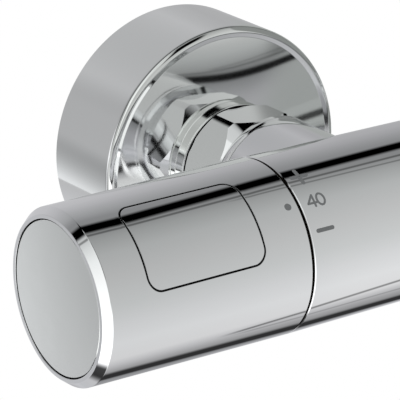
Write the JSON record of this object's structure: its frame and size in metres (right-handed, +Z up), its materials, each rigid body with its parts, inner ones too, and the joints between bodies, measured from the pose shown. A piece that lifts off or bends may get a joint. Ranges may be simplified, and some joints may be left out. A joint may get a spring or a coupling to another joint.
{
  "type": "wall-mounted thermostatic shower mixer",
  "caption": "Round chromed bar mixer for a shower: temperature handle with a flush safety button, flow handle, cranked wall unions with deep round covers, threaded hose outlet below.",
  "frame": {"origin": "on the finished wall, midway between the two wall threads", "axes": "+Y into the wall along the wall threads, +X along the bar from the temperature handle to the flow handle, +Z up"},
  "size_m": [0.3128, 0.1151, 0.0733],
  "materials": {
    "chromed_body": "polished chrome on cast brass",
    "chromed_cover": "polished chrome on pressed brass",
    "chromed_nut": "polished chrome on turned brass",
    "chromed_handle": "polished chrome on moulded plastic or zinc",
    "button_chrome": "bright chromed plastic",
    "satin_cap": "satin chromed plastic",
    "cartridge_brass": "machined brass",
    "white_plastic": "moulded engineering plastic",
    "grey_plastic": "moulded engineering plastic",
    "red_plastic": "moulded engineering plastic",
    "black_rubber": "smooth seal rubber",
    "copper_bulb": "drawn copper",
    "spring_steel": "stainless steel",
    "ceramic": "lapped alumina"
  },
  "bodies": {
    "valve_body": {"body_bar": "chromed_body", "outlet_nipple": "chromed_body", "outlet_seal": "black_rubber", "thermostat_housing": "cartridge_brass", "thermostat_nut": "cartridge_brass", "thermostat_o_rings": "black_rubber", "thermostat_nose_cap": "white_plastic", "stop_ring": "red_plastic", "return_spring": "spring_steel", "flow_cartridge_body": "cartridge_brass", "flow_cartridge_nut": "cartridge_brass", "flow_o_ring": "black_rubber", "fixed_ceramic_disc": "ceramic", "disc_seal": "black_rubber", "hot_inlet_tail": "chromed_body", "hot_union_nut": "chromed_nut", "hot_sealing_washer": "black_rubber", "hot_filter": "spring_steel", "hot_s_union": "chromed_body", "hot_rosette": "chromed_cover", "hot_check_valve_body": "white_plastic", "hot_check_valve_spring": "spring_steel", "cold_inlet_tail": "chromed_body", "cold_union_nut": "chromed_nut", "cold_sealing_washer": "black_rubber", "cold_filter": "spring_steel", "cold_s_union": "chromed_body", "cold_rosette": "chromed_cover", "cold_check_valve_body": "white_plastic", "cold_check_valve_spring": "spring_steel"},
    "temperature_knob": {"thermostat_spindle": "cartridge_brass", "temperature_handle": "chromed_handle", "temperature_end_cap": "satin_cap", "temperature_insert": "grey_plastic", "temperature_screw": "spring_steel", "button_springs": "spring_steel"},
    "safety_button": {"safety_button": "button_chrome"},
    "thermostat_core": {"regulating_shuttle": "white_plastic", "wax_element": "copper_bulb", "setting_carrier": "white_plastic", "overload_cup": "white_plastic", "overload_clip": "spring_steel", "overload_spring": "spring_steel"},
    "flow_knob": {"flow_spindle": "cartridge_brass", "flow_handle": "chromed_handle", "flow_end_cap": "satin_cap", "flow_insert": "grey_plastic", "flow_screw": "spring_steel", "moving_ceramic_disc": "ceramic"},
    "hot_check_poppet": {"hot_check_valve_poppet": "white_plastic"},
    "cold_check_poppet": {"cold_check_valve_poppet": "white_plastic"}
  },
  "joints": [
    {"name": "temperature_turn", "type": "hinge", "parent": "valve_body", "child": "temperature_knob", "pos_m": [-0.10205, -0.0781, -0.008], "axis": [-1, 0, 0], "range_deg": [-225, 0]},
    {"name": "button_press", "type": "slide", "parent": "temperature_knob", "child": "safety_button", "axis": [0, 0.7046, -0.7096], "range_m": [0, 0.002], "stiffness_N_per_m": 600, "springref_m": -0.0005, "deforming": ["button_springs"]},
    {"name": "core_slide", "type": "slide", "parent": "valve_body", "child": "thermostat_core", "axis": [-1, 0, 0], "range_m": [-0.0015, 0], "deforming": ["return_spring"]},
    {"name": "flow_turn", "type": "hinge", "parent": "valve_body", "child": "flow_knob", "pos_m": [0.10205, -0.0781, -0.008], "axis": [-1, 0, 0], "range_deg": [0, 90]},
    {"name": "hot_check_valve_open", "type": "slide", "parent": "valve_body", "child": "hot_check_poppet", "axis": [0, -1, 0], "range_m": [0, 0.003], "stiffness_N_per_m": 60, "springref_m": -0.002, "deforming": ["hot_check_valve_spring"]},
    {"name": "cold_check_valve_open", "type": "slide", "parent": "valve_body", "child": "cold_check_poppet", "axis": [0, -1, 0], "range_m": [0, 0.003], "stiffness_N_per_m": 60, "springref_m": -0.002, "deforming": ["cold_check_valve_spring"]}
  ],
  "couplings": [
    {"joint": "core_slide", "follows": "temperature_turn", "m_per_rad": 0.00038}
  ]
}
